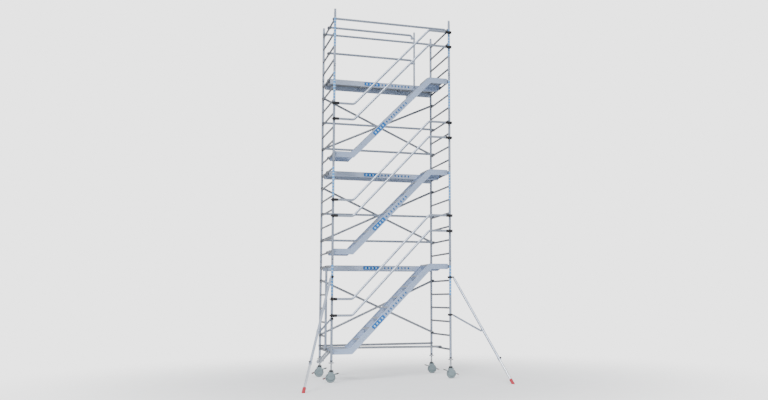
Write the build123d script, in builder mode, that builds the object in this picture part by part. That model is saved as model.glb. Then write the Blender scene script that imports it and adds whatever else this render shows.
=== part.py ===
"""Mobile stair tower: aluminium frames, braces, decks and stairs on four castors and two stabilisers.

Millimetres. X runs along the decks, Y across the tower (+Y is the closed far side, -Y the stair side)
and Z up. Each piece is drawn about the middle of the four posts, and save_all() then moves the whole
tower so that its origin is the middle of its footprint on the ground.
"""
import os
from math import acos, atan2, cos, degrees, hypot, radians, sin, sqrt, tan

from build123d import *

# ---- driving dimensions ----
bay_length = 2450  # between post axes along the decks
bay_width = 1300  # between post axes across the tower
rung_pitch = 280
first_rung = 580  # height of rung 0
frame_rungs = 7  # rungs in one full frame
top_frame_rungs = 4
post_bottom = 395

post_radius, post_wall = 25.5, 2.2
rung_radius, rung_wall = 20, 2
brace_radius, brace_wall = 24, 1.8
gap = 0.1  # between pieces that touch but stay separate
running = 0.05  # radial play of a pivot or a bearing

half_length, half_width = bay_length / 2, bay_width / 2
LEFT, RIGHT = -1, 1


def rung(k):
    """Height of rung k."""
    return first_rung + rung_pitch * k


# frames stack where one frame's top meets the next one's foot, half a pitch above its last rung
joint_heights = [rung(frame_rungs * n - 0.5) for n in (1, 2, 3)]
tower_top = rung(3 * frame_rungs + top_frame_rungs - 0.5)

spigot_radius = post_radius - post_wall - gap
spigot_wall, spigot_below, spigot_above = 3, 100, 65
lock_height, lock_radius = 32, 4  # the clip's pin above a frame joint

# stairs: one flight per full frame, on the -Y half
stair_near, stair_far = -615, -30  # outer faces of the two stringers
stringer_width, stringer_half_depth, stringer_skin = 25, 57, 4
stair_lift = 8  # stringer middle above the rung it hooks on
lower_bend, upper_bend = -825, 810
landing_end = 1190  # decks and landings stop here and their hooks go on to the rung
tread_count, tread_depth, tread_skin, tread_skirt = 7, 145, 3, 28

# decks, on the +Y half
deck_near, deck_far = 30, 605
beam_width, beam_top, beam_bottom, beam_wall = 40, 40, -65, 3
board_thickness = 12

# braces and rails hook on the rungs in three layers beside the far posts
layer_y = (589, 539, 489)
claw_lift, claw_inner, claw_outer = 22, 30, -42

# stair handrails
handrail_y, handrail_bend_radius = -705, 90
handrail_low, handrail_high = (1030, 710), (1055, 735)  # above the lower and the upper rung
handrail_low_bend, handrail_high_bend = -830, 762

# inner guard of the top deck
guard_post_x, guard_post_y, guard_post_radius, guard_post_top = 645, 2, 21, 7385
hook_bend, hook_drop, guard_hook_x, near_hook_x = 50, 85, 592, 1176

# castors
wheel_radius, wheel_width, wheel_trail = 96, 46, 12
leg_radius, leg_wall, leg_bottom, leg_top = 19, 3.5, 234, 800
nut_height, screw_lead = 30, 8
axle_radius, fork_gap, fork_plate = 8, 29, 4
pedal_pivot_z = 140

# stabilisers
stabiliser_angle = 63.5  # from the tower's length, towards the stair side
upper_clamp_z, lower_clamp_z = 2045, {RIGHT: 1280, LEFT: 1225}
clamp_height, clamp_outer = 44, 33
leg_pin_r, strut_pin_r = 90, 62  # pins of the two clamps, from the post axis
strut_along, strut_offset, strut_length = 1310, 52, 842
strut_radius, strut_wall = 19, 1.8
outer_leg_radius, outer_leg_wall, outer_leg_end = 24, 2.5, 2040
inner_leg_radius, inner_leg_start = 21.4, 1650
knob_along = 2012
open_pin_radius, open_eye_radius = 5, 11  # the pivot where the linkage is open has this much room

# entry step
step_rails, step_drop, step_reach = (-490, -230), 200, 190

pieces = []


def keep(part, name):
    """Labels a finished piece and keeps it for save_all()."""
    part.label = name
    pieces.append(part)


def tube(start, end, radius, wall):
    """A straight round tube from start to end."""
    start, end = Vector(*start), Vector(*end)
    with BuildSketch(Plane(origin=start, z_dir=end - start)) as face:
        Circle(radius)
        Circle(radius - wall, mode=Mode.SUBTRACT)
    extrude(face.sketch, amount=(end - start).length)


def rod(start, end, radius, mode=Mode.ADD):
    """A solid round bar from start to end."""
    start, end = Vector(*start), Vector(*end)
    with BuildSketch(Plane(origin=start, z_dir=end - start)) as face:
        Circle(radius)
    extrude(face.sketch, amount=(end - start).length, mode=mode)


def bent_tube(points, bend, radius, wall):
    """A round tube along straight runs joined by arcs."""
    for r, mode in ((radius, Mode.ADD), (radius - wall, Mode.SUBTRACT)):
        with BuildLine() as path:
            FilletPolyline(*points, radius=bend)
        with BuildSketch(Plane(origin=path.line @ 0, z_dir=path.line % 0)) as face:
            Circle(r)
        sweep(face.sketch, path=path.line, mode=mode)


def block(low, high, mode=Mode.ADD):
    """A box between two corners."""
    size = [b - a for a, b in zip(low, high)]
    with BuildSketch(Plane.XY.offset(low[2])) as face:
        with Locations(((low[0] + high[0]) / 2, (low[1] + high[1]) / 2)):
            Rectangle(size[0], size[1])
    extrude(face.sketch, amount=size[2], mode=mode)


# ---- end frames ----


def lock_hole(x, y, joint):
    """The hole of a lock clip's pin, along X through a post or a spigot."""
    z = joint + lock_height
    rod((x - 40, y, z), (x + 40, y, z), lock_radius, Mode.SUBTRACT)


def spigot(x, y, joint):
    """A spigot pressed in the top of a post; the part that stands out of it is 0.3 mm bigger in radius."""
    tube((x, y, joint - spigot_below), (x, y, joint + spigot_above), spigot_radius - 0.3, spigot_wall - 0.3)
    tube((x, y, joint), (x, y, joint + spigot_above), spigot_radius, spigot_wall)


def posts_and_spigots(x, low, high):
    """The two posts of a frame, over the rungs that are already there, with their spigots on top."""
    for y in (-half_width, half_width):
        rod((x, y, low - 1), (x, y, high + 1), post_radius + gap, Mode.SUBTRACT)
        tube((x, y, low + gap), (x, y, high - gap), post_radius, post_wall)
        if low > post_bottom:
            lock_hole(x, y, low)
        spigot(x, y, high)
        if high < tower_top:
            lock_hole(x, y, high)


def make_frame(name, side, low, high, first, count):
    """A ladder frame: two posts joined by rungs."""
    x = side * half_length
    with BuildPart() as frame:
        for k in range(first, first + count):
            tube((x, -half_width, rung(k)), (x, half_width, rung(k)), rung_radius, rung_wall)
        posts_and_spigots(x, low, high)
    keep(frame.part, name)


def make_walk_through_frame(name):
    """The entry frame: a middle post carries short rungs on its far half, and its near half is open."""
    x, last = -half_length, frame_rungs - 1
    with BuildPart() as frame:
        for k in range(1, last):
            tube((x, 0, rung(k)), (x, half_width, rung(k)), rung_radius, rung_wall)
        rod((x, 0, rung(0)), (x, 0, rung(last)), post_radius + gap, Mode.SUBTRACT)
        tube((x, 0, rung(0)), (x, 0, rung(last)), post_radius, post_wall)
        for k in (0, last):
            ends = (x, -half_width, rung(k)), (x, half_width, rung(k))
            rod(*ends, rung_radius + gap, Mode.SUBTRACT)
            tube(*ends, rung_radius, rung_wall)
        posts_and_spigots(x, post_bottom, joint_heights[0])
    keep(frame.part, name)


def make_lock_clips():
    """A pin through each frame joint, with its spring loop round the outside of the post."""
    with BuildPart() as clips:
        for side in (LEFT, RIGHT):
            for y_side in (-1, 1):
                for joint in joint_heights:
                    x, y, z = side * half_length, y_side * half_width, joint + lock_height
                    rod((x - 33, y, z), (x + 33, y, z), lock_radius - gap)
                    rod((x + 26, y, z), (x + 29, y, z), 7)
                    with BuildLine() as loop:
                        start = 0 if y_side > 0 else 180
                        CenterArc((x, y, z), 31, start, 180)
                    with BuildSketch(Plane(origin=loop.line @ 0, z_dir=loop.line % 0)):
                        Circle(1.8)
                    sweep(path=loop.line)
    keep(clips.part, "frame_lock_clips")


# ---- hooks and claws that sit on the rungs ----


def rung_slot(plane, width):
    """The saddle of a hook: the rung's round seat, open downwards."""
    with BuildSketch(plane) as face:
        Circle(rung_radius + gap)
        with Locations((0, -rung_radius)):
            Rectangle(2 * (rung_radius + gap), 2 * rung_radius)
    extrude(face.sketch, amount=width, both=True, mode=Mode.SUBTRACT)


def landing_hook(side, y, level, width, bottom, top):
    """A cast hook from the end of a beam or a stringer over the rung."""
    inner = half_length - landing_end - gap
    plane = Plane(origin=(side * half_length, y, level), x_dir=(-side, 0, 0), z_dir=(0, side, 0))
    with BuildSketch(plane) as face:
        with BuildLine():
            Polyline((inner, bottom), (inner, top), (-8, top), (-26, 18), (-26, -14), (-15, -20), (15, bottom), close=True)
        make_face()
    extrude(face.sketch, amount=width / 2, both=True)
    rung_slot(plane, width)


def make_landing_hooks():
    """Hooks of the three decks and of the three stair flights."""
    beam_y = (deck_near + beam_width / 2, deck_far - beam_width / 2)
    stringer_y = (stair_near + stringer_width / 2, stair_far - stringer_width / 2)
    with BuildPart() as hooks:
        for flight in range(3):
            lower, upper = rung(frame_rungs * flight), rung(frame_rungs * flight + frame_rungs - 1)
            for side in (LEFT, RIGHT):
                for y in beam_y:
                    landing_hook(side, y, upper, beam_width - 6, -40, beam_top - 4)
                for y in stringer_y:
                    level = lower if side == LEFT else upper
                    landing_hook(side, y, level, stringer_width - 2, -32, 44)
    keep(hooks.part, "landing_hooks")


def claw(rung_point, toward):
    """A brace's claw on a rung: toward points along the brace, away from the rung's frame."""
    out = Vector(*toward)
    plane = Plane(origin=rung_point, x_dir=out, z_dir=(0, -1 if out.X > 0 else 1, 0))
    with BuildSketch(plane) as face:
        with BuildLine():
            Polyline(
                (claw_inner, 0), (claw_inner, 44), (-18, 44), (claw_outer, 24), (claw_outer, -6),
                (-30, -15), (26, -15), close=True,
            )
        make_face()
    extrude(face.sketch, amount=15, both=True)
    rung_slot(plane, 20)


def claw_plug(rung_point, toward):
    """The plug that joins a claw to the end of its tube."""
    out = Vector(*toward).normalized()
    up = Vector(-out.Z, 0, out.X) if out.X > 0 else Vector(out.Z, 0, -out.X)
    middle = Vector(*rung_point) + up * claw_lift
    rod(middle + out * (claw_inner - 8), middle + out * (claw_inner + 45), brace_radius - brace_wall - gap)


def diagonal(level_left, level_right, y):
    """The rung points and the direction of a brace in the far side's plane."""
    left = Vector(-half_length, y, rung(level_left))
    right = Vector(half_length, y, rung(level_right))
    return left, right, (right - left).normalized()


# level pairs of the X braces, each pair in its own layer
x_braces = [(5, 1, 0), (1, 5, 1), (12, 8, 0), (8, 12, 1), (19, 15, 0), (15, 19, 1)]
far_rails = [8, 10, 15, 17, 24]
plan_brace_y = {LEFT: 505, RIGHT: 45}
base_brace_z, base_brace_y = 645, half_width - post_radius - brace_radius - 3
top_rung = 24
inner_rail_rungs = (24, 22)
near_rail_y = -590


def lifted(point, direction, along):
    """A point of a tube's axis: along from the rung, and claw_lift off it."""
    up = Vector(-direction.Z, 0, direction.X)
    return point + up * claw_lift + direction * along


def make_diagonal_braces():
    """Six braces cross in pairs on the far side; in the base one lies aslant and one joins the far posts."""
    with BuildPart() as braces:
        for low, high, layer in x_braces:
            left, right, along = diagonal(low, high, layer_y[layer])
            start = lifted(left, along, claw_inner + gap)
            end = lifted(right, along, -claw_inner - gap)
            tube(start, end, brace_radius, brace_wall)
        tube(*plan_brace_ends(), brace_radius, brace_wall)
        reach = half_length - post_radius - 22
        ends = (-reach, base_brace_y, base_brace_z), (reach, base_brace_y, base_brace_z)
        tube(*ends, brace_radius, brace_wall)
    keep(braces.part, "diagonal_braces")


def plan_brace_ends():
    """The flat brace of the base runs aslant from beside the far post to the middle of rung 0."""
    inset, z = half_length - claw_inner - 6, rung(0) + claw_lift
    slope = (plan_brace_y[RIGHT] - plan_brace_y[LEFT]) / bay_length
    left = Vector(-inset, plan_brace_y[LEFT] + slope * (half_length - inset), z)
    right = Vector(inset, plan_brace_y[RIGHT] - slope * (half_length - inset), z)
    return left, right


def make_brace_claws():
    """Claws at both ends of every brace and guard rail."""
    with BuildPart() as claws:
        for low, high, layer in x_braces:
            left, right, along = diagonal(low, high, layer_y[layer])
            for point, out in ((left, along), (right, along * -1)):
                claw(point, out)
                claw_plug(point, out)
        for k in far_rails:
            left, right, along = diagonal(k, k, layer_y[2])
            for point, out in ((left, along), (right, along * -1)):
                claw(point, out)
                claw_plug(point, out)
        for k in inner_rail_rungs:
            claw((-half_length, 0, rung(k)), (1, 0, 0))
            claw_plug((-half_length, 0, rung(k)), (1, 0, 0))
        claw((-half_length, near_rail_y, rung(top_rung)), (1, 0, 0))
        claw_plug((-half_length, near_rail_y, rung(top_rung)), (1, 0, 0))
        near_rail_end_claw()
        start, end = plan_brace_ends()
        along = (end - start).normalized()
        for side, tip, out in ((LEFT, start, along), (RIGHT, end, along * -1)):
            claw((side * half_length, plan_brace_y[side], rung(0)), (-side, 0, 0))
            rod(tip - out * 12, tip + out * 40, brace_radius - brace_wall - gap)
        for side in (LEFT, RIGHT):
            post_claw(side)
    keep(claws.part, "brace_claws")


def near_rail_end_claw():
    """The near rail's right end is turned down, and its claw is coped against that end."""
    claw((half_length, near_rail_y, rung(top_rung)), (-1, 0, 0))
    stub_low, stub_high = rung(top_rung) - 80, rung(top_rung) + 60
    rod((near_hook_x, near_rail_y, stub_low), (near_hook_x, near_rail_y, stub_high), brace_radius + gap, Mode.SUBTRACT)


def post_claw(side):
    """A claw of the base brace, open on one side, round a far post."""
    x, low = side * half_length, base_brace_z - 18
    with BuildSketch(Plane.XY.offset(low)) as face:
        with Locations((x, half_width)):
            Circle(post_radius + 8)
            with Locations((-side * 22, -30)):
                Rectangle(52, 38)
            Circle(post_radius + gap, mode=Mode.SUBTRACT)
            with Locations((side * 24, 24)):
                Rectangle(48, 48, mode=Mode.SUBTRACT)
    extrude(face.sketch, amount=36)
    end = half_length - post_radius - 22
    for start, radius, mode in ((end, brace_radius + gap, Mode.SUBTRACT), (end + 10, brace_radius - 2, Mode.ADD)):
        rod((side * start, base_brace_y, base_brace_z), (side * (end - 40), base_brace_y, base_brace_z), radius, mode)


# ---- guard rails ----


def make_guard_rails():
    """Straight rails on the far side, and rails with a turned-down end on the top deck."""
    tip = half_length - claw_inner - gap
    with BuildPart() as rails:
        for k in far_rails:
            z = rung(k) + claw_lift
            tube((-tip, layer_y[2], z), (tip, layer_y[2], z), brace_radius, brace_wall)
        for k in inner_rail_rungs:
            z = rung(k) + claw_lift
            hooked_rail(0, z, guard_hook_x)
        hooked_rail(near_rail_y, rung(top_rung) + claw_lift, near_hook_x)
    keep(rails.part, "guard_rails")


def hooked_rail(y, z, hook_x):
    """A rail from the left frame whose right end turns down at hook_x."""
    start = (-half_length + claw_inner + gap, y, z)
    bent_tube((start, (hook_x, y, z), (hook_x, y, z - hook_drop)), hook_bend, brace_radius, brace_wall)


def make_inner_guard_post():
    """The post in the top deck's inner guard, its foot under the deck, its clamp and the rails' sockets."""
    deck = rung(3 * frame_rungs - 1)
    x, y, r = guard_post_x, guard_post_y, guard_post_radius
    foot_z = deck + beam_bottom - r - 1
    with BuildPart() as post:
        tube((x, y - r + 1, foot_z), (x, deck_far + 15, foot_z), r, 2.5)
        rod((x, y, foot_z), (x, y, foot_z + 2 * r), r + gap, Mode.SUBTRACT)
        tube((x, y, foot_z - r), (x, y, guard_post_top), r, 2.5)
        rod((x, y, guard_post_top + gap), (x, y, guard_post_top + 6), r)
        block((x - 24, y - r - 8, deck - 30), (x + 24, deck_near - gap, deck + 12))
        rod((x, y, deck - 31), (x, y, deck + 13), r + gap, Mode.SUBTRACT)
        rod((x, y - r - 8, deck - 9), (x, y - r - 30, deck - 9), 8)
        for k in inner_rail_rungs:
            rail_socket(x, y, rung(k) + claw_lift - hook_drop + 6)
    keep(post.part, "inner_guard_post")


def rail_socket(x, y, low):
    """A ring on the guard post that takes a rail's turned-down end."""
    height = 26
    with BuildSketch(Plane.XY.offset(low)) as face:
        with Locations((guard_hook_x, 0)):
            Circle(brace_radius + 5)
        with Locations(((guard_hook_x + x) / 2, 1)):
            Rectangle(x - guard_hook_x, 16)
        with Locations((x, y)):
            Circle(guard_post_radius + 4)
        with Locations((guard_hook_x, 0)):
            Circle(brace_radius + gap, mode=Mode.SUBTRACT)
        with Locations((x, y)):
            Circle(guard_post_radius + gap, mode=Mode.SUBTRACT)
    extrude(face.sketch, amount=height)


# ---- stairs ----


def stringer_outline(half_depth, reach, level):
    """Outline of a stringer: level, up the flight, level, with mitred bends."""
    rise = rung(frame_rungs - 1) - rung(0)
    mitre = half_depth * tan(atan2(rise, upper_bend - lower_bend) / 2)
    low, high = level + stair_lift, level + stair_lift + rise
    with BuildLine() as outline:
        Polyline(
            (-reach, low + half_depth), (lower_bend - mitre, low + half_depth),
            (upper_bend - mitre, high + half_depth), (reach, high + half_depth),
            (reach, high - half_depth), (upper_bend + mitre, high - half_depth),
            (lower_bend + mitre, low - half_depth), (-reach, low - half_depth), close=True,
        )
    make_face(outline.edges())


def stringer(outer_y, inward, level):
    """A channel with its web outside: outer_y is the web's outer face, inward is +1 or -1 along Y."""
    face = Plane(origin=(0, outer_y, 0), x_dir=(1, 0, 0), z_dir=(0, -1, 0))
    hollow = Plane(origin=(0, outer_y + inward * stringer_skin, 0), x_dir=(1, 0, 0), z_dir=(0, -1, 0))
    with BuildSketch(face) as face:
        stringer_outline(stringer_half_depth, landing_end, level)
    extrude(face.sketch, amount=-inward * stringer_width)
    with BuildSketch(hollow) as face:
        stringer_outline(stringer_half_depth - stringer_skin, landing_end - stringer_skin, level)
    extrude(face.sketch, amount=-inward * stringer_width, mode=Mode.SUBTRACT)


def make_stringers(flight):
    """The two stringers of a flight."""
    with BuildPart() as stringers:
        stringer(stair_near, 1, rung(frame_rungs * flight))
        stringer(stair_far, -1, rung(frame_rungs * flight))
    keep(stringers.part, f"stair_stringers_{flight + 1}")


def tread(x_low, x_high, top, ribs):
    """A folded tread between the stringers, with skirts and ribs under it."""
    low_y = stair_near + stringer_width + gap
    plane = Plane(origin=(0, low_y, 0), x_dir=(1, 0, 0), z_dir=(0, -1, 0))
    skirts = [x_low + tread_skin / 2, x_high - tread_skin / 2]
    pitch = (x_high - x_low) / (ribs + 1)
    with BuildSketch(plane) as face:
        with Locations(((x_low + x_high) / 2, top - tread_skin / 2)):
            Rectangle(x_high - x_low, tread_skin)
        with Locations(*[(x, top - tread_skirt / 2) for x in skirts]):
            Rectangle(tread_skin, tread_skirt)
        with Locations(*[(x_low + pitch * (i + 1), top - tread_skirt / 4) for i in range(ribs)]):
            Rectangle(tread_skin, tread_skirt / 2)
    extrude(face.sketch, amount=-(stair_far - stringer_width - gap - low_y))


def make_treads():
    """Seven treads and two landings in each of the three flights."""
    rise = (rung(frame_rungs - 1) - rung(0)) / (tread_count + 1)
    going = (upper_bend - lower_bend) / (tread_count + 1)
    landing_top = stair_lift + stringer_half_depth - 10
    with BuildPart() as treads:
        for flight in range(3):
            low = rung(frame_rungs * flight) + landing_top
            high = rung(frame_rungs * flight + frame_rungs - 1) + landing_top
            tread(-landing_end + 5, lower_bend - 5, low, 3)
            tread(upper_bend - 55, landing_end - 5, high, 3)
            for i in range(1, tread_count + 1):
                middle = lower_bend + going * i + 10
                tread(middle - tread_depth / 2, middle + tread_depth / 2, low + rise * i - 22, 2)
    keep(treads.part, "stair_treads")


def handrail_path(level, which):
    """The four corners of a handrail tube."""
    upper = rung(frame_rungs - 1) - rung(0)
    low, high = level + handrail_low[which], level + upper + handrail_high[which]
    reach = half_length + 28
    corners = [(-reach, low), (handrail_low_bend, low), (handrail_high_bend, high), (reach, high)]
    return [(x, handrail_y, z) for x, z in corners]


def make_handrails():
    """A top and a middle tube along each flight, bent at both landings."""
    with BuildPart() as handrails:
        for flight in range(3):
            for which in (0, 1):
                path = handrail_path(rung(frame_rungs * flight), which)
                bent_tube(path, handrail_bend_radius, brace_radius, brace_wall)
    keep(handrails.part, "stair_handrails")


def coupler(side, z):
    """A moulded coupler: a collar on the near post and a sleeve on the handrail, with a wing bolt."""
    x, y = side * half_length, -half_width
    outer, sleeve = side * (half_length + 34), side * (half_length - 62)
    with BuildSketch(Plane.XY.offset(z - 22)) as face:
        with Locations((x, y)):
            Circle(post_radius + 7.5)
        with Locations((x, (y + handrail_y) / 2)):
            Rectangle(50, abs(handrail_y - y))
    extrude(face.sketch, amount=44)
    rod((outer, handrail_y, z), (sleeve, handrail_y, z), brace_radius + 6)
    rod((x, handrail_y - 20, z), (x, handrail_y - 44, z), 9)
    block((x - 22, handrail_y - 48, z - 5), (x + 22, handrail_y - 36, z + 5))
    rod((x, y, z - 23), (x, y, z + 23), post_radius + gap, Mode.SUBTRACT)
    rod((side * (half_length + 30), handrail_y, z), (sleeve, handrail_y, z), brace_radius + gap, Mode.SUBTRACT)


def make_couplers():
    """Couplers of both handrail tubes at both ends of each flight."""
    upper = rung(frame_rungs - 1) - rung(0)
    with BuildPart() as couplers:
        for flight in range(3):
            level = rung(frame_rungs * flight)
            for which in (0, 1):
                coupler(LEFT, level + handrail_low[which])
                coupler(RIGHT, level + upper + handrail_high[which])
    keep(couplers.part, "handrail_couplers")


# ---- decks ----


def hollow_bar_x(y, z, width, height, wall, reach):
    """A rectangular tube along X."""
    with BuildSketch(Plane(origin=(-reach, y, z), x_dir=(0, 1, 0), z_dir=(1, 0, 0))) as face:
        RectangleRounded(width, height, 4)
        Rectangle(width - 2 * wall, height - 2 * wall, mode=Mode.SUBTRACT)
    extrude(face.sketch, amount=2 * reach)


def hollow_bar_y(x, z, width, height, wall, low, high):
    """A rectangular tube along Y."""
    with BuildSketch(Plane(origin=(x, low, z), x_dir=(-1, 0, 0), z_dir=(0, 1, 0))) as face:
        Rectangle(width, height)
        Rectangle(width - 2 * wall, height - 2 * wall, mode=Mode.SUBTRACT)
    extrude(face.sketch, amount=high - low)


def make_platform_frame(level):
    """Two side beams and four cross members."""
    deck = rung(frame_rungs * level + frame_rungs - 1)
    middle, depth = deck + (beam_top + beam_bottom) / 2, beam_top - beam_bottom
    cross_z = deck + beam_top - board_thickness - gap - 17
    with BuildPart() as platform:
        for y in (deck_near + beam_width / 2, deck_far - beam_width / 2):
            hollow_bar_x(y, middle, beam_width, depth, beam_wall, landing_end)
        for x in (-1150, -450, 450, 1150):
            ends = deck_near + beam_width + gap, deck_far - beam_width - gap
            hollow_bar_y(x, cross_z, 44, 34, 2.5, *ends)
    keep(platform.part, f"platform_frame_{level + 1}")


def make_deck_boards():
    """One board lies between the beams of each platform."""
    with BuildPart() as boards:
        for level in range(3):
            top = rung(frame_rungs * level + frame_rungs - 1) + beam_top
            low = (-landing_end, deck_near + beam_width + gap, top - board_thickness)
            high = (landing_end, deck_far - beam_width - gap, top)
            block(low, high)
    keep(boards.part, "deck_boards")


# ---- entry step ----


def make_entry_step():
    """A hook-on step: two sloping rails hung on rung 0, a tread across them and rubber ends."""
    x, z = -half_length, rung(0)
    length = hypot(step_drop, step_reach)
    down = Vector(-step_reach, 0, -step_drop) * (1 / length)
    with BuildPart() as step:
        for y in step_rails:
            plane = Plane(origin=(x, y, z), x_dir=down, z_dir=(0, 1, 0))
            with BuildSketch(plane):
                Circle(28)
                with Locations((length / 2 + 8, 0)):
                    Rectangle(length - 16, 40)
            extrude(amount=9, both=True)
            with BuildSketch(plane):
                Circle(rung_radius + running)
                with Locations(Location((0, 0), 145)):
                    with Locations((16, 0)):
                        Rectangle(32, 2 * (rung_radius + running) - 1)
            extrude(amount=12, both=True, mode=Mode.SUBTRACT)
            cap = Plane(origin=Vector(x, y, z) + down * (length + gap), x_dir=(0, 1, 0), z_dir=down)
            with BuildSketch(cap):
                RectangleRounded(24, 46, 5)
            extrude(amount=26)
        tread_at = Vector(x, 0, z) + down * (length - 42)
        plane = Plane(origin=tread_at, x_dir=(1, 0, 0), z_dir=(0, 1, 0))
        low, high = step_rails[0] + 9 + gap, step_rails[1] - 9 - gap
        with BuildSketch(plane.offset(low)):
            Rectangle(96, 24)
            Rectangle(90, 18, mode=Mode.SUBTRACT)
        extrude(amount=high - low)
    keep(step.part, "entry_step")


# ---- castors ----


def castor_planes(side, y_side):
    """The ground plane under a post, and the upright plane of its wheel: x is towards the low pedal."""
    origin = (side * half_length, y_side * half_width, 0)
    ground = Plane(origin=origin, x_dir=(side, 0, 0), z_dir=(0, 0, 1))
    upright = Plane(origin=origin, x_dir=(side, 0, 0), z_dir=(0, -side, 0))
    return ground, upright


def make_castor_leg(name, ground):
    """The screwed leg slides up inside its post and carries the swivel plate."""
    with BuildPart() as leg:
        with BuildSketch(ground.offset(leg_bottom + 8)):
            Circle(leg_radius)
            Circle(leg_radius - leg_wall, mode=Mode.SUBTRACT)
        extrude(amount=leg_top - leg_bottom - 8)
        with BuildSketch(ground.offset(leg_bottom)):
            Circle(38)
        extrude(amount=8)
    keep(leg.part, name)


def make_nut(name, ground):
    """The adjusting nut under the post: a collar with two lugs."""
    low = post_bottom - nut_height - gap
    with BuildPart() as nut:
        with BuildSketch(ground.offset(low)):
            Circle(31)
        extrude(amount=nut_height)
        with BuildSketch(ground.offset(low + 5)):
            SlotOverall(110, 16)
        extrude(amount=nut_height - 12)
        with BuildSketch(ground.offset(low)):
            Circle(leg_radius + running)
        extrude(amount=nut_height, mode=Mode.SUBTRACT)
    keep(nut.part, name)


def make_fork(name, ground, upright):
    """Swivel head, crown and two side plates, with the wheel's axle and the pedal's stub pins."""
    crown_low, crown_high = wheel_radius * 2 + 5, wheel_radius * 2 + 15
    with BuildPart() as fork:
        with BuildSketch(ground.offset(crown_high)):
            Circle(36)
        extrude(amount=leg_bottom - crown_high - gap)
        with BuildSketch(ground.offset(crown_low)):
            with Locations((wheel_trail / 2, 0)):
                RectangleRounded(108, 2 * (fork_gap + fork_plate), 8)
        extrude(amount=crown_high - crown_low)
        for low in (fork_gap, -fork_gap - fork_plate):
            with BuildSketch(upright.offset(low)):
                with Locations((wheel_trail, wheel_radius + 20)):
                    Circle(66)
                with Locations((wheel_trail / 2, (wheel_radius + 20 + crown_high) / 2)):
                    Rectangle(96, crown_high - wheel_radius - 20)
                with Locations((wheel_trail, wheel_radius)):
                    Circle(axle_radius + gap, mode=Mode.SUBTRACT)
            extrude(amount=fork_plate)
        for start in (fork_gap + fork_plate - 1, -fork_gap - fork_plate - 9):
            with BuildSketch(upright.offset(start)):
                with Locations((wheel_trail, pedal_pivot_z)):
                    Circle(7)
            extrude(amount=10)
        with BuildSketch(upright.offset(-fork_gap - fork_plate - 3)):
            with Locations((wheel_trail, wheel_radius)):
                Circle(axle_radius)
        extrude(amount=2 * (fork_gap + fork_plate + 3))
        for start in (fork_gap + fork_plate + gap, -fork_gap - fork_plate - gap - 5):
            with BuildSketch(upright.offset(start)):
                with Locations((wheel_trail, wheel_radius)):
                    RegularPolygon(14, 6)
            extrude(amount=5)
    keep(fork.part, name)


def make_wheel(name, upright):
    """A ribbed wheel core with its tyre round it."""
    hub, half = fork_gap - 1, wheel_width / 2
    tyre_inner = wheel_radius - 18
    with BuildPart() as wheel:
        for radius, inner, low, width in (
            (22, axle_radius + running, -hub, 2 * hub),
            (tyre_inner - 10, 20, -6, 12),
            (tyre_inner, tyre_inner - 12, -half + 4, wheel_width - 8),
        ):
            with BuildSketch(upright.offset(low)):
                with Locations((wheel_trail, wheel_radius)):
                    Circle(radius)
                    Circle(inner, mode=Mode.SUBTRACT)
            extrude(amount=width)
        with BuildSketch(upright.offset(-half + 8)):
            with Locations((wheel_trail, wheel_radius)):
                with PolarLocations(46, 6):
                    Rectangle(52, 6)
        extrude(amount=wheel_width - 16)
        with BuildSketch(upright.offset(-half)):
            with Locations((wheel_trail, wheel_radius)):
                Circle(wheel_radius)
                Circle(tyre_inner + gap, mode=Mode.SUBTRACT)
        extrude(amount=wheel_width)
        rims = wheel.faces().filter_by(Axis.Y).edges().filter_by(GeomType.CIRCLE)
        fillet([e for e in rims if abs(e.radius - wheel_radius) < 1], 8)
    keep(wheel.part, name)


def make_pedal(name, upright):
    """The brake's rocker: two arms outside the fork joined by a high and a low pedal."""
    pivot = Vector(wheel_trail, pedal_pivot_z)
    high, low = Vector(-104, 168), Vector(122, 92)
    arm_low, arm = fork_gap + fork_plate + 3, 4
    with BuildPart() as pedal:
        for start in (arm_low, -arm_low - arm):
            with BuildSketch(upright.offset(start)):
                for end in (high, low):
                    middle, run = (pivot + end) * 0.5, end - pivot
                    with Locations(Location((middle.X, middle.Y), degrees(atan2(run.Y, run.X)))):
                        SlotCenterToCenter(run.length, 18)
                with Locations((pivot.X, pivot.Y)):
                    Circle(15)
                    Circle(7 + running, mode=Mode.SUBTRACT)
            extrude(amount=arm)
        for end, tip in ((high, Vector(-140, 180)), (low, Vector(150, 80))):
            middle, run = (end + tip) * 0.5, tip - end
            with BuildSketch(upright.offset(-arm_low - arm)):
                with Locations(Location((middle.X, middle.Y), degrees(atan2(run.Y, run.X)))):
                    SlotOverall(run.length + 14, 9)
            extrude(amount=2 * (arm_low + arm))
    keep(pedal.part, name)


# ---- stabilisers ----


def stabiliser_plane(side):
    """The upright plane of a stabiliser: x is outwards from its post's axis, y is up."""
    angle = radians(stabiliser_angle)
    out = Vector(side * cos(angle), -sin(angle), 0)
    return Plane(origin=(side * half_length, -half_width, 0), x_dir=out, z_dir=out.cross(Vector(0, 0, 1)))


def linkage(clamp_z):
    """The leg's angle from the upright, in radians, and the strut's two pivots, from the clamp's height."""
    leg_to_clamp = hypot(leg_pin_r - strut_pin_r, upper_clamp_z - clamp_z)
    leg_to_joint = hypot(strut_along, strut_offset)
    at_leg = acos((leg_to_joint**2 + leg_to_clamp**2 - strut_length**2) / (2 * leg_to_joint * leg_to_clamp))
    lean = atan2(leg_pin_r - strut_pin_r, upper_clamp_z - clamp_z)
    angle = at_leg - lean + atan2(strut_offset, strut_along)
    along = Vector(sin(angle), -cos(angle))
    joint = Vector(leg_pin_r, upper_clamp_z) + along * strut_along + Vector(-cos(angle), -sin(angle)) * strut_offset
    return angle, Vector(strut_pin_r, clamp_z), joint


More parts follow.
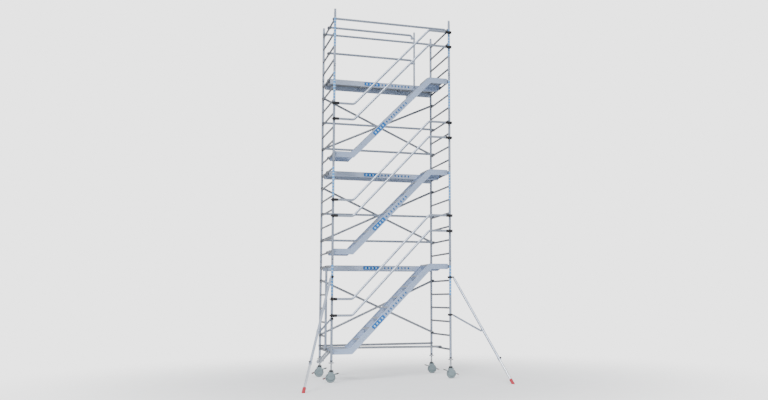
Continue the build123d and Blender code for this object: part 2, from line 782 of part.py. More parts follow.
def ring_clamp(plane, z, pin_r, pin_radius):
    """A clamp round the post, free to turn on it, with two ears and their pin."""
    level = Plane(origin=plane.origin, x_dir=plane.x_dir, z_dir=(0, 0, 1))
    with BuildSketch(level.offset(z - clamp_height / 2)) as face:
        Circle(clamp_outer)
        with Locations((-clamp_outer - 8, 0)):
            Rectangle(30, 30)
    extrude(face.sketch, amount=clamp_height)
    for start in (7.5, -13.5):
        with BuildSketch(plane.offset(start)) as face:
            with Locations((pin_r / 2 + 8, z)):
                Rectangle(pin_r - 16, 32)
            with Locations((pin_r, z)):
                Circle(16)
        extrude(face.sketch, amount=6)
    for half, radius in ((14, pin_radius), (17, pin_radius - 2)):
        with BuildSketch(plane.offset(-half)) as face:
            with Locations((pin_r, z)):
                Circle(radius)
        extrude(face.sketch, amount=2 * half)
    with BuildSketch(plane.offset(-26)) as face:
        with Locations((-clamp_outer - 12, z)):
            Circle(6)
    extrude(face.sketch, amount=52)
    with BuildSketch(plane.offset(20)) as face:
        with Locations((-clamp_outer - 12, z)):
            SlotOverall(46, 12, rotation=90)
    extrude(face.sketch, amount=6)
    with BuildSketch(level.offset(z - clamp_height / 2)) as face:
        Circle(post_radius + running)
        with Locations((-clamp_outer - 12, 0)):
            Rectangle(40, 3)
    extrude(face.sketch, amount=clamp_height, mode=Mode.SUBTRACT)


def on_leg(plane, angle, along, offset=0.0):
    """A point beside the leg's axis, offset towards the tower."""
    r = leg_pin_r + along * sin(angle) - offset * cos(angle)
    z = upper_clamp_z - along * cos(angle) - offset * sin(angle)
    return plane.from_local_coords(Vector(r, z, 0))


def eye(plane, centre, toward, radius, hole, half_thick, neck):
    """A flat eye with a hole, and its neck towards a tube."""
    run = (toward - centre).normalized()
    middle = centre + run * (neck / 2)
    with BuildSketch(plane) as face:
        with Locations((centre.X, centre.Y)):
            Circle(radius)
        with Locations(Location((middle.X, middle.Y), degrees(atan2(run.Y, run.X)))):
            Rectangle(neck, 2 * radius - 4)
        with Locations((centre.X, centre.Y)):
            Circle(hole, mode=Mode.SUBTRACT)
    extrude(face.sketch, amount=half_thick, both=True)


def make_stabiliser_leg(name, plane, side):
    """The outer tube, its eye on the upper clamp, the strut's bracket and the collar of the lock knob."""
    angle, _, joint = linkage(lower_clamp_z[side])
    pin, foot = Vector(leg_pin_r, upper_clamp_z), Vector(leg_pin_r + sin(angle), upper_clamp_z - cos(angle))
    with BuildPart() as leg:
        eye(plane, pin, foot, 15, 6 + running, 6.5, 60)
        rod(on_leg(plane, angle, 46), on_leg(plane, angle, 66), outer_leg_radius - 1)
        tube(on_leg(plane, angle, 46), on_leg(plane, angle, outer_leg_end), outer_leg_radius, outer_leg_wall)
        for start, end in ((strut_along - 25, strut_along + 25), (outer_leg_end - 60, outer_leg_end)):
            ends = on_leg(plane, angle, start), on_leg(plane, angle, end)
            tube(*ends, outer_leg_radius + 4, 5)
        for start in (6.5, -11.5):
            with BuildSketch(plane.offset(start)):
                with Locations((joint.X, joint.Y)):
                    Circle(14)
                middle = plane.to_local_coords(on_leg(plane, angle, strut_along, 38))
                with Locations(Location((middle.X, middle.Y), degrees(angle))):
                    Rectangle(26, 20)
            extrude(amount=5)
        with BuildSketch(plane.offset(-14)):
            with Locations((joint.X, joint.Y)):
                Circle(open_pin_radius)
        extrude(amount=28)
        boss = on_leg(plane, angle, knob_along, -outer_leg_radius), on_leg(plane, angle, knob_along, -38)
        rod(*boss, 10)
        rod(on_leg(plane, angle, 60), on_leg(plane, angle, outer_leg_end + 1), outer_leg_radius - outer_leg_wall, Mode.SUBTRACT)
        rod(on_leg(plane, angle, knob_along), on_leg(plane, angle, knob_along, -40), 5 + running, Mode.SUBTRACT)
    keep(leg.part, name)


def make_inner_leg(name, plane, side):
    """The inner tube telescopes in the outer one."""
    angle = linkage(lower_clamp_z[side])[0]
    ground = upper_clamp_z / cos(angle)
    with BuildPart() as inner:
        tube(on_leg(plane, angle, inner_leg_start), on_leg(plane, angle, ground - 60), inner_leg_radius, 2.5)
    keep(inner.part, name)


def make_foot(name, plane, side):
    """A rubber shoe on the inner tube, cut level with the ground."""
    angle = linkage(lower_clamp_z[side])[0]
    ground = upper_clamp_z / cos(angle)
    with BuildPart() as foot:
        rod(on_leg(plane, angle, ground - 105), on_leg(plane, angle, ground + 40), 30)
        rod(on_leg(plane, angle, ground - 106), on_leg(plane, angle, ground - 59.9), inner_leg_radius + gap, Mode.SUBTRACT)
        split(bisect_by=Plane.XY)
    keep(foot.part, name)


def make_knob(name, plane, side):
    """A lobed knob whose screw ends just clear of the inner tube."""
    angle = linkage(lower_clamp_z[side])[0]
    tip = on_leg(plane, angle, knob_along, -inner_leg_radius - 0.5)
    with BuildPart() as knob:
        rod(tip, on_leg(plane, angle, knob_along, -44), 5)
        base = on_leg(plane, angle, knob_along, -42)
        out = (on_leg(plane, angle, knob_along, -50) - base).normalized()
        with BuildSketch(Plane(origin=base, z_dir=out)):
            Circle(13)
            with PolarLocations(14, 3):
                Circle(7)
        extrude(amount=14)
    keep(knob.part, name)


def make_strut(name, plane, side):
    """The strut between the lower clamp and the leg."""
    _, clamp, joint = linkage(lower_clamp_z[side])
    run = (joint - clamp).normalized()
    with BuildPart() as strut:
        eye(plane, clamp, joint, 13, 5 + running, 6.5, 50)
        eye(plane, joint, clamp, 16, open_eye_radius, 5, 56)
        for point, sign, inset in ((clamp, 1, 34), (joint, -1, 40)):
            start, end = point + run * (sign * inset), point + run * (sign * (inset + 18))
            rod(plane.from_local_coords(start), plane.from_local_coords(end), strut_radius - 1)
        start, end = clamp + run * 34, joint - run * 40
        tube(plane.from_local_coords(start), plane.from_local_coords(end), strut_radius, strut_wall)
    keep(strut.part, name)


def make_clamp(name, plane, z, pin_r, pin_radius):
    """One stabiliser clamp."""
    with BuildPart() as clamp:
        ring_clamp(plane, z, pin_r, pin_radius)
    keep(clamp.part, name)


def footprint_shift():
    """The move that brings the middle of the footprint to the origin."""
    boxes = [p.bounding_box() for p in pieces]
    low_x, high_x = min(b.min.X for b in boxes), max(b.max.X for b in boxes)
    low_y, high_y = min(b.min.Y for b in boxes), max(b.max.Y for b in boxes)
    return Vector(-(low_x + high_x) / 2, -(low_y + high_y) / 2, 0)


def save_all():
    """Writes every piece, moved so that the footprint's middle is the origin."""
    os.makedirs("parts", exist_ok=True)
    shift = footprint_shift()
    for part in pieces:
        placed = part.moved(Location(shift))
        placed.label = part.label
        export_step(placed, f"parts/{part.label}.step")
    print("pieces", len(pieces), "shift", shift)


make_walk_through_frame("base_frame_left")
make_frame("base_frame_right", RIGHT, post_bottom, joint_heights[0], 0, frame_rungs)
for level in (1, 2):
    for side, word in ((LEFT, "left"), (RIGHT, "right")):
        name = f"frame_{word}_{level + 1}"
        make_frame(name, side, joint_heights[level - 1], joint_heights[level], frame_rungs * level, frame_rungs)
for side, word in ((LEFT, "left"), (RIGHT, "right")):
    make_frame(f"top_frame_{word}", side, joint_heights[2], tower_top, 3 * frame_rungs, top_frame_rungs)
make_lock_clips()
make_landing_hooks()
make_diagonal_braces()
make_brace_claws()
make_guard_rails()
make_inner_guard_post()
for flight in range(3):
    make_stringers(flight)
    make_platform_frame(flight)
make_treads()
make_deck_boards()
make_handrails()
make_couplers()
make_entry_step()
for side, word in ((LEFT, "left"), (RIGHT, "right")):
    for y_side, row in ((-1, "near"), (1, "far")):
        ground, upright = castor_planes(side, y_side)
        make_castor_leg(f"castor_leg_{row}_{word}", ground)
        make_nut(f"adjusting_nut_{row}_{word}", ground)
        make_fork(f"castor_fork_{row}_{word}", ground, upright)
        make_wheel(f"castor_wheel_{row}_{word}", upright)
        make_pedal(f"brake_pedal_{row}_{word}", upright)
for side, word in ((LEFT, "left"), (RIGHT, "right")):
    plane = stabiliser_plane(side)
    make_clamp(f"stabiliser_upper_clamp_{word}", plane, upper_clamp_z, leg_pin_r, 6)
    make_clamp(f"stabiliser_lower_clamp_{word}", plane, lower_clamp_z[side], strut_pin_r, 5)
    make_stabiliser_leg(f"stabiliser_leg_{word}", plane, side)
    make_inner_leg(f"stabiliser_inner_leg_{word}", plane, side)
    make_foot(f"stabiliser_foot_{word}", plane, side)
    make_knob(f"stabiliser_knob_{word}", plane, side)
    make_strut(f"stabiliser_strut_{word}", plane, side)
save_all()
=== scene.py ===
"""Looks of the mobile stair tower: materials, welds, fixings, labels, floor, light and camera."""
from math import atan2, cos, hypot, pi, radians, sin

import bpy
from mathutils import Matrix, Vector


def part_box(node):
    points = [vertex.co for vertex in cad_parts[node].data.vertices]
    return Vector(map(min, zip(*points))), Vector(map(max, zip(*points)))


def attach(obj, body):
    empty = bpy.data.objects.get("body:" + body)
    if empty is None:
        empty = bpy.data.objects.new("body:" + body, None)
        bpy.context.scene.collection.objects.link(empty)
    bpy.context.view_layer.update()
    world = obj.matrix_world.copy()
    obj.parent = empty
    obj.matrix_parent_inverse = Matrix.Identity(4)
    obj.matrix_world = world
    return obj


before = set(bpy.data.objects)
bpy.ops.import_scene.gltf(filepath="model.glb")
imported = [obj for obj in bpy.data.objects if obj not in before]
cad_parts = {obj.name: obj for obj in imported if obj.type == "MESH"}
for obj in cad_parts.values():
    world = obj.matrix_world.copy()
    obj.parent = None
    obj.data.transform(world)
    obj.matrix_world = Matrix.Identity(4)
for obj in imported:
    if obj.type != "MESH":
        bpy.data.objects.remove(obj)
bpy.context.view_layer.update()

# ---- where the tower's pieces are ----

POST_RADIUS = 0.0255
right_low, right_high = (Vector(v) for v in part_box("base_frame_right"))
left_low, left_high = (Vector(v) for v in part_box("base_frame_left"))
X_RIGHT = (right_low.x + right_high.x) / 2
X_LEFT = (left_low.x + left_high.x) / 2
Y_NEAR, Y_FAR = right_low.y + POST_RADIUS, right_high.y - POST_RADIUS
CENTRE = Vector(((X_LEFT + X_RIGHT) / 2, (Y_NEAR + Y_FAR) / 2, 0))
HALF_LENGTH, HALF_WIDTH = (X_RIGHT - X_LEFT) / 2, (Y_FAR - Y_NEAR) / 2
PITCH, FIRST_RUNG, FRAME_RUNGS = 0.28, 0.58, 7
X, Y, Z = Vector((1, 0, 0)), Vector((0, 1, 0)), Vector((0, 0, 1))

# faces of the decks' beams and of the stairs' stringers, across the tower
DECK_FACES = ((0.030, -1), (0.605, 1))
STAIR_NEAR, STAIR_FAR = -0.615, -0.030
STAIR_FACES = ((STAIR_NEAR, -1), (STAIR_FAR, 1))
LOW_BEND, HIGH_BEND = -0.825, 0.810  # where the stringers bend into their landings
TREADS, STAIR_LIFT, LANDING_END = 7, 0.008, 1.190
HANDRAIL_Y, HANDRAIL_RADIUS = -0.705, 0.0241
LOW_RAILS, HIGH_RAILS = (1.030, 0.710), (1.055, 0.735)  # above a flight's first and last rung

# the castors, from the foot of their post
WHEEL_TRAIL, WHEEL_HEIGHT = 0.012, 0.096
HIGH_PEDAL = (Vector((-0.104, 0, 0.168)), Vector((-0.140, 0, 0.180)))
LOW_PEDAL = (Vector((0.122, 0, 0.092)), Vector((0.150, 0, 0.080)))


def at(x, y, z):
    """A point given from the middle of the four posts."""
    return CENTRE + Vector((x, y, z))


def rung(k):
    """Height of rung k."""
    return FIRST_RUNG + PITCH * k


def flight_rungs(flight):
    """Heights of the rungs that carry a flight's lower and upper end."""
    return rung(FRAME_RUNGS * flight), rung(FRAME_RUNGS * flight + FRAME_RUNGS - 1)


# ---- materials ----


def new_material(name, color, metallic, roughness):
    """A Principled material; its noise and bump are added by the helpers below."""
    m = bpy.data.materials.new(name)
    m.use_nodes = True
    shader = m.node_tree.nodes["Principled BSDF"]
    shader.inputs["Base Color"].default_value = (*color, 1)
    shader.inputs["Metallic"].default_value = metallic
    shader.inputs["Roughness"].default_value = roughness
    return m


def node(m, kind, **values):
    """A shader node with its inputs or settings filled in."""
    n = m.node_tree.nodes.new(kind)
    for key, value in values.items():
        if key in n.inputs:
            n.inputs[key].default_value = value
        else:
            setattr(n, key, value)
    return n


def link(m, a, b):
    m.node_tree.links.new(a, b)


def place(m, scale):
    """Object coordinates stretched by scale, so a noise can run along a tube."""
    where = node(m, "ShaderNodeTexCoord")
    mapping = node(m, "ShaderNodeMapping", Scale=scale)
    link(m, where.outputs["Object"], mapping.inputs["Vector"])
    return mapping.outputs["Vector"]


def noise(m, vector, size, detail=4.0):
    """The value of a noise, with grains of about 1 / size metres."""
    n = node(m, "ShaderNodeTexNoise", Scale=size, Detail=detail, Roughness=0.6)
    link(m, vector, n.inputs["Vector"])
    return n.outputs["Fac"]


def ramp(m, factor, low, high, at_low=0.35, at_high=0.65):
    """A factor turned into two colours."""
    r = node(m, "ShaderNodeValToRGB")
    r.color_ramp.elements[0].position, r.color_ramp.elements[0].color = at_low, (*low, 1)
    r.color_ramp.elements[1].position, r.color_ramp.elements[1].color = at_high, (*high, 1)
    link(m, factor, r.inputs["Fac"])
    return r.outputs["Color"]


def mix_colors(m, factor, a, b):
    """Colour a turned into colour b by a factor."""
    n = node(m, "ShaderNodeMix", data_type="RGBA")
    link(m, factor, n.inputs["Factor"])
    link(m, a, n.inputs[6])
    link(m, b, n.inputs[7])
    return n.outputs[2]


def set_color(m, color):
    link(m, color, m.node_tree.nodes["Principled BSDF"].inputs["Base Color"])


def set_roughness(m, factor, low, high):
    """Roughness that follows a factor between two values."""
    n = node(m, "ShaderNodeMapRange")
    n.inputs["To Min"].default_value, n.inputs["To Max"].default_value = low, high
    link(m, factor, n.inputs["Value"])
    link(m, n.outputs["Result"], m.node_tree.nodes["Principled BSDF"].inputs["Roughness"])


def set_bump(m, height, strength, distance):
    """Bump from a height."""
    n = node(m, "ShaderNodeBump", Strength=strength, Distance=distance)
    link(m, height, n.inputs["Height"])
    link(m, n.outputs["Normal"], m.node_tree.nodes["Principled BSDF"].inputs["Normal"])


def shade(color, by):
    return tuple(min(1.0, c * by) for c in color)


def aluminium(name, color, grain, metallic=0.75, roughness=(0.28, 0.46), bump=0.12, dirt=0.80):
    """Drawn or extruded aluminium: fine die lines along the profile, soft stains and handling marks."""
    m = new_material(name, color, metallic, roughness[0])
    lines = noise(m, place(m, grain), 6.0, 6.0)
    stains = noise(m, place(m, (1, 1, 1)), 2.6, 3.0)
    marks = noise(m, place(m, (1, 1, 1)), 46.0, 5.0)
    base = ramp(m, lines, shade(color, 0.93), shade(color, 1.05), 0.3, 0.7)
    stained = ramp(m, stains, shade(color, dirt), shade(color, 1.03), 0.25, 0.6)
    set_color(m, mix_colors(m, marks, base, stained))
    set_roughness(m, lines, *roughness)
    set_bump(m, lines, bump, 0.0006)
    return m


def moulded(name, color, roughness, size=900.0, bump=0.25, metallic=0.0, worn=1.6):
    """Moulded, cast or painted: a fine grain, and lighter scuffs."""
    m = new_material(name, color, metallic, roughness)
    grain = noise(m, place(m, (1, 1, 1)), size, 3.0)
    scuffs = noise(m, place(m, (1, 1, 1)), 38.0, 6.0)
    set_color(m, ramp(m, scuffs, color, tuple(min(1, c * worn + 0.004) for c in color), 0.48, 0.78))
    set_roughness(m, scuffs, roughness * 0.85, min(1, roughness * 1.2))
    set_bump(m, grain, bump, 0.0005)
    return m


ALU = (0.40, 0.46, 0.57)
# stretches of the die lines along a profile
ALONG_X, ALONG_Y, ALONG_Z = (1.2, 40, 40), (40, 1.2, 40), (40, 40, 1.2)
mat = {
    "post": aluminium("post_aluminium", ALU, ALONG_Z),
    # painted shade: the rungs are the posts' aluminium, made far darker to stand in for the shade in their grooves
    # and on their undersides
    "rung": aluminium("rung_aluminium_painted_shade", (0.13, 0.142, 0.168), ALONG_Y, dirt=0.75),
    "rail": aluminium("rail_aluminium", (0.46, 0.52, 0.63), ALONG_X),
    "brace": aluminium("brace_aluminium", (0.36, 0.385, 0.43), ALONG_X, dirt=0.75),
    "beam": aluminium("beam_aluminium", (0.60, 0.69, 0.87), (1.0, 60, 60),
                      metallic=0.55, roughness=(0.38, 0.55)),
    "stringer": aluminium("stringer_aluminium", (0.50, 0.62, 0.86), (1.0, 60, 60),
                          metallic=0.5, roughness=(0.38, 0.55)),
    "tread": aluminium("tread_aluminium", (0.44, 0.47, 0.52), (60, 1.5, 60),
                       metallic=0.6, roughness=(0.4, 0.6), dirt=0.7),
    "cross": aluminium("cross_aluminium", (0.36, 0.38, 0.42), (60, 1.2, 60), dirt=0.7),
    "inner": aluminium("inner_tube_aluminium", (0.66, 0.70, 0.76), ALONG_Z, roughness=(0.2, 0.36)),
    "cast": moulded("cast_aluminium", (0.17, 0.18, 0.20), 0.55, 420.0, 0.5, 0.7, 1.7),
    "zinc": moulded("zinc_plated_steel", (0.50, 0.52, 0.55), 0.34, 160.0, 0.15, 0.85, 1.2),
    "bolt": moulded("fixing_steel", (0.36, 0.37, 0.39), 0.32, 200.0, 0.12, 0.9, 1.4),
    "weld": moulded("weld_bead", (0.34, 0.36, 0.40), 0.42, 260.0, 0.8, 0.85, 1.3),
    "black": moulded("black_moulding", (0.012, 0.012, 0.014), 0.46, 900.0, 0.4, 0.0, 3.0),
    "black_cast": moulded("black_powder_coat", (0.016, 0.016, 0.018), 0.5, 700.0, 0.5, 0.0, 3.0),
    "red": moulded("red_rubber", (0.42, 0.022, 0.040), 0.6, 420.0, 0.4, 0.0, 1.5),
    "dark_red": moulded("dark_red_grip", (0.10, 0.010, 0.012), 0.55, 420.0, 0.4, 0.0, 2.0),
    "housing": moulded("castor_housing_paint", (0.25, 0.32, 0.345), 0.42, 300.0, 0.2, 0.25, 1.2),
    "core": moulded("wheel_core", (0.30, 0.375, 0.40), 0.45, 500.0, 0.25, 0.0, 1.15),
    "tyre": moulded("wheel_tyre", (0.17, 0.21, 0.225), 0.62, 650.0, 0.4, 0.0, 1.25),
}


def deck_board():
    """Phenolic-faced board: a pressed wire-mesh pattern, and grey wear in the walked strip."""
    color = (0.20, 0.21, 0.225)
    m = new_material("deck_board_face", color, 0.0, 0.62)
    mesh = node(m, "ShaderNodeTexVoronoi", feature="DISTANCE_TO_EDGE", Scale=150.0)
    link(m, place(m, (1, 1, 0.05)), mesh.inputs["Vector"])
    wear = noise(m, place(m, (0.7, 3, 1)), 2.2, 6.0)
    set_color(m, ramp(m, wear, shade(color, 0.8), (0.34, 0.35, 0.36), 0.35, 0.75))
    set_roughness(m, wear, 0.5, 0.75)
    set_bump(m, mesh.outputs["Distance"], 0.5, 0.001)
    return m


def striped_label(name, ground, bar, along, density):
    """A plain printed strip: a ground with evenly spaced pale bars and faint scratches."""
    m = new_material(name, ground, 0.0, 0.35)
    m.node_tree.nodes["Principled BSDF"].inputs["Coat Weight"].default_value = 0.3
    wave = node(m, "ShaderNodeTexWave", wave_type="BANDS", bands_direction=along, Scale=density)
    where = node(m, "ShaderNodeTexCoord")
    link(m, where.outputs["Object"], wave.inputs["Vector"])
    bars = ramp(m, wave.outputs["Fac"], ground, bar, 0.72, 0.76)
    scratches = noise(m, place(m, (1, 1, 1)), 120.0, 6.0)
    worn = ramp(m, scratches, (0, 0, 0), (1, 1, 1), 0.66, 0.74)
    scratched = node(m, "ShaderNodeMix", data_type="RGBA")
    scratched.inputs[7].default_value = (*shade(ALU, 1.1), 1)
    link(m, worn, scratched.inputs["Factor"])
    link(m, bars, scratched.inputs[6])
    set_color(m, scratched.outputs[2])
    set_roughness(m, scratches, 0.3, 0.5)
    return m


mat["board"] = deck_board()
mat["label"] = moulded("blue_panel", (0.010, 0.135, 0.44), 0.36, 500.0, 0.1, 0.0, 1.5)
mat["bar"] = moulded("pale_panel_bar", (0.42, 0.60, 0.80), 0.38, 500.0, 0.1, 0.0, 1.15)
mat["mark"] = moulded("grey_blue_mark", (0.022, 0.13, 0.36), 0.4, 400.0, 0.1, 0.0, 1.3)
mat["post_label"] = striped_label("post_panel", (0.10, 0.34, 0.72), (0.46, 0.62, 0.82), "Z", 5.0)


# ---- mesh building ----


class Kit:
    """Vertices and faces of one piece."""

    def __init__(self):
        self.verts, self.faces, self.smooth = [], [], []

    def ring(self, centre, u, v, radius, count):
        """A circle of vertices; gives its first one."""
        first = len(self.verts)
        for i in range(count):
            a = 2 * pi * i / count
            self.verts.append(centre + (u * cos(a) + v * sin(a)) * radius)
        return first

    def join(self, a, b, count, smooth=True):
        """Faces between two rings."""
        for i in range(count):
            j = (i + 1) % count
            self.faces.append((a + i, a + j, b + j, b + i))
            self.smooth.append(smooth)

    def turned(self, start, axis, profile, count=24, smooth=True, cap=True):
        """A turned shape: profile is (distance along axis, radius) pairs."""
        u, v = frame_of(axis)
        rings = [self.ring(start + axis * d, u, v, r, count) for d, r in profile]
        for a, b in zip(rings, rings[1:]):
            self.join(a, b, count, smooth)
        if cap:
            self.cap(rings[0], rings[-1], count)

    def cap(self, first, last, count):
        """Flat faces that close both ends."""
        self.faces += [tuple(first + i for i in reversed(range(count))), tuple(last + i for i in range(count))]
        self.smooth += [False, False]

    def close_loop(self, first, count, around):
        """Faces of a closed bead, whose vertices go round it count times around."""
        for i in range(count):
            a0, a1 = first + i * around, first + ((i + 1) % count) * around
            for j in range(around):
                k = (j + 1) % around
                self.faces.append((a0 + j, a1 + j, a1 + k, a0 + k))
                self.smooth.append(True)

    def torus(self, centre, axis, radius, thick, count=24, around=8):
        """A closed bead round an axis."""
        u, v = frame_of(axis)
        first = len(self.verts)
        for i in range(count):
            a = 2 * pi * i / count
            out = u * cos(a) + v * sin(a)
            for j in range(around):
                b = 2 * pi * j / around
                self.verts.append(centre + out * (radius + thick * cos(b)) + axis * (thick * sin(b)))
        self.close_loop(first, count, around)

    def bar(self, start, end, side, width, height, chamfer=0.25):
        """A bar with chamfered long edges, between two points; side is its width's direction."""
        along = (end - start).normalized()
        up = along.cross(side).normalized()
        c = min(width, height) * chamfer
        w, h = width / 2, height / 2
        outline = [(w, -h + c), (w, h - c), (w - c, h), (-w + c, h),
                   (-w, h - c), (-w, -h + c), (-w + c, -h), (w - c, -h)]
        first = len(self.verts)
        for p in (start, end):
            for a, b in outline:
                self.verts.append(p + side * a + up * b)
        n = len(outline)
        self.join(first, first + n, n, False)
        self.cap(first, first + n, n)

    def sheet(self, rows, close=False):
        """A smooth surface through rows of points."""
        first, n = len(self.verts), len(rows[0])
        for row in rows:
            self.verts += row
        for r in range(len(rows) - 1):
            for i in range(n if close else n - 1):
                j = (i + 1) % n
                a, b = first + r * n, first + (r + 1) * n
                self.faces.append((a + i, a + j, b + j, b + i))
                self.smooth.append(True)

    def piece(self, name, body, slot, material):
        """The finished object, riding on a body."""
        mesh = bpy.data.meshes.new(name)
        mesh.from_pydata([tuple(v) for v in self.verts], [], self.faces)
        mesh.polygons.foreach_set("use_smooth", self.smooth)
        mesh.materials.append(material)
        mesh.update()
        piece = bpy.data.objects.new(name, mesh)
        bpy.context.scene.collection.objects.link(piece)
        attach(piece, body)
        return piece


def frame_of(axis):
    """Two directions at right angles to an axis."""
    help_axis = Vector((0, 0, 1)) if abs(axis.z) < 0.9 else Vector((1, 0, 0))
    u = axis.cross(help_axis).normalized()
    return u, axis.cross(u).normalized()


# ---- finishes on the CAD pieces ----


def finish_node(name, *rules):
    """Gives a CAD piece its materials: each rule is (material, test on a face's centre and normal)."""
    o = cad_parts[name]
    o.data.materials.clear()
    for key, _ in rules:
        o.data.materials.append(mat[key])
    for p in o.data.polygons:
        for i, (_, test) in enumerate(rules):
            if test is None or test(p.center, p.normal):
                p.material_index = i
                break


def off_posts(c, _):
    """True away from the axes of all the posts of a frame."""
    x = X_LEFT if c.x < CENTRE.x else X_RIGHT
    has_middle_post = x == X_LEFT and c.z < rung(FRAME_RUNGS - 1) + 0.03
    posts = (Y_NEAR, Y_FAR, CENTRE.y) if has_middle_post else (Y_NEAR, Y_FAR)
    return all(hypot(c.x - x, c.y - y) > POST_RADIUS + 0.0004 for y in posts)


def between_beams(c, _):
    """True on a deck's cross members."""
    return 0.0705 < c.y - CENTRE.y < 0.5645


def axle_end(c, _):
    """True on the ends of a castor's axle."""
    post_y = Y_NEAR if c.y < CENTRE.y else Y_FAR
    return abs(abs(c.y - post_y) - 0.0360) < 0.0021 and abs(c.z - WHEEL_HEIGHT) < 0.0145


def finish_castor(name, x, side):
    """Finishes of a castor's pieces under the post at x."""
    if name.startswith("castor_fork"):
        finish_node(name, ("bolt", axle_end), ("housing", None))
    elif name.startswith("castor_wheel"):
        axle_x = x + side * WHEEL_TRAIL
        finish_node(name, ("tyre", lambda c, _: hypot(c.x - axle_x, c.z - WHEEL_HEIGHT) > 0.0783), ("core", None))
    elif name.startswith("brake_pedal"):
        finish_node(name, ("black", lambda c, _: abs(c.x - x) > 0.098 and c.z > 0.13),
                    ("dark_red", lambda c, _: abs(c.x - x) > 0.110), ("housing", None))
    elif name.startswith("castor_leg"):
        finish_node(name, ("black", lambda c, _: c.z < 0.2425), ("zinc", None))


# the first rule whose names match is the one that counts
PLAIN = (
    ("frame_lock_clips", "zinc"), ("landing_hooks", "cast"), ("diagonal_braces", "brace"), ("brace_claws", "cast"),
    ("guard_rails", "rail"), ("inner_guard_post", "rail"), ("stair_treads", "tread"), ("deck_boards", "board"),
    ("stair_handrails", "rail"), ("handrail_couplers", "black"), ("entry_step", "tread"),
    ("stair_stringers", "stringer"), ("adjusting_nut", "zinc"), ("stabiliser_leg", "rail"),
    ("stabiliser_strut", "rail"), ("stabiliser_inner_leg", "inner"), ("stabiliser_foot", "red"),
    ("stabiliser_knob", "black"), ("stabiliser_upper_clamp", "black_cast"),
    ("stabiliser_lower_clamp", "black_cast"),
)
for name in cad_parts:
    plain = [key for start, key in PLAIN if name.startswith(start)]
    if plain:
        finish_node(name, (plain[0], None))
    elif name.startswith(("base_frame", "frame_left", "frame_right", "top_frame")):
        # the rungs take the darkened rung colour, which is painted shade
        finish_node(name, ("rung", off_posts), ("post", None))
    elif name.startswith("platform_frame"):
        finish_node(name, ("cross", between_beams), ("beam", None))
    elif name.endswith("left"):
        finish_castor(name, X_LEFT, -1)
    else:
        finish_castor(name, X_RIGHT, 1)


# ---- welds ----


RUNG_WELD_RADIUS = 0.0212


def weld_ring(kit, x, y, z, toward):
    """A bead round a rung where it meets a post: toward is +1 or -1 along Y, from the post."""
    count, around, thick = 20, 6, 0.0022
    first = len(kit.verts)
    for i in range(count):
        a = 2 * pi * i / count
        dx, dz = RUNG_WELD_RADIUS * cos(a), RUNG_WELD_RADIUS * sin(a)
        reach = (POST_RADIUS ** 2 - dx ** 2) ** 0.5 + 0.0008
        ripple = thick * (1 + 0.12 * cos(9 * a + 40 * z))
        spot, out = at(x + dx, y + toward * reach, z + dz), Vector((cos(a), 0, sin(a)))
        for j in range(around):
            b = 2 * pi * j / around
            kit.verts.append(spot + out * (ripple * cos(b)) + Y * (toward * ripple * sin(b)))
    kit.close_loop(first, count, around)


welds = Kit()
for k in range(25):
    weld_ring(welds, HALF_LENGTH, -HALF_WIDTH, rung(k), 1)
    weld_ring(welds, HALF_LENGTH, HALF_WIDTH, rung(k), -1)
    weld_ring(welds, -HALF_LENGTH, HALF_WIDTH, rung(k), -1)
    # beside the entry, the base frame's rungs stop at its middle post
    near_end = 0 if 1 <= k <= 5 else -HALF_WIDTH
    weld_ring(welds, -HALF_LENGTH, near_end, rung(k), 1)
welds.piece("rung_welds", "tower", "frame_aluminium", mat["weld"])


# ---- collars, plugs and bolts on the tower ----

FRAME_JOINTS = [rung(FRAME_RUNGS * n - 0.5) for n in (1, 2, 3)]
TOP, POST_FOOT = rung(24.5), 0.396
JOINT_COLLAR = [(0, 0.0256), (0.002, 0.0268), (0.014, 0.0268), (0.016, 0.0256)]
FOOT_COLLAR = [(0, 0.0256), (0.002, 0.0272), (0.030, 0.0272), (0.033, 0.0256)]
SPIGOT_PLUG = [(-0.006, 0.0198), (0, 0.0206), (0.0015, 0.0224), (0.003, 0.0205), (0.0036, 0.012)]
GUARD_POST_PLUG = [(0, 0.0206), (0.002, 0.0208), (0.004, 0.018), (0.0048, 0.01)]
POSTS = [(x, y) for x in (-HALF_LENGTH, HALF_LENGTH) for y in (-HALF_WIDTH, HALF_WIDTH)]

collars, plugs = Kit(), Kit()
for x, y in POSTS:
    for z in FRAME_JOINTS:
        collars.turned(at(x, y, z - 0.016), Z, JOINT_COLLAR, 32, True, False)
    collars.turned(at(x, y, POST_FOOT), Z, FOOT_COLLAR, 32, True, False)
    plugs.turned(at(x, y, TOP + 0.0652), Z, SPIGOT_PLUG, 28)
plugs.turned(at(0.645, 0.002, 7.3912), Z, GUARD_POST_PLUG, 28)
# the collars take the darkened rung colour, which is painted shade
collars.piece("post_end_collars", "tower", "frame_aluminium", mat["rung"])
plugs.piece("tube_end_plugs", "tower", "black_plastic", mat["cast"])

# stairs and decks: screws through the beams and stringers, and ribs along the treads
screws, ribs = Kit(), Kit()
RISE = rung(FRAME_RUNGS - 1) - rung(0)
TREAD_LOW, TREAD_HIGH = STAIR_NEAR + 0.0253, STAIR_FAR - 0.0253
HALF_TREAD, RIB_PITCH = 0.0725, 0.018


def dome(kit, centre, axis, radius):
    """A low screw head."""
    profile = [(-0.001, radius), (0.0012, radius), (0.0028, radius * 0.72), (0.0036, radius * 0.3)]
    kit.turned(centre, axis, profile, 14)


def landing_and_tread_spans(flight):
    """First and last X and the top of each landing and tread of a flight."""
    low = flight_rungs(flight)[0] + 0.055
    spans = [(-1.185, -0.830, low), (0.755, 1.185, low + RISE)]
    for i in range(1, TREADS + 1):
        middle = LOW_BEND + (HIGH_BEND - LOW_BEND) / (TREADS + 1) * i + 0.010
        spans.append((middle - HALF_TREAD, middle + HALF_TREAD, low + RISE / (TREADS + 1) * i - 0.022))
    return spans


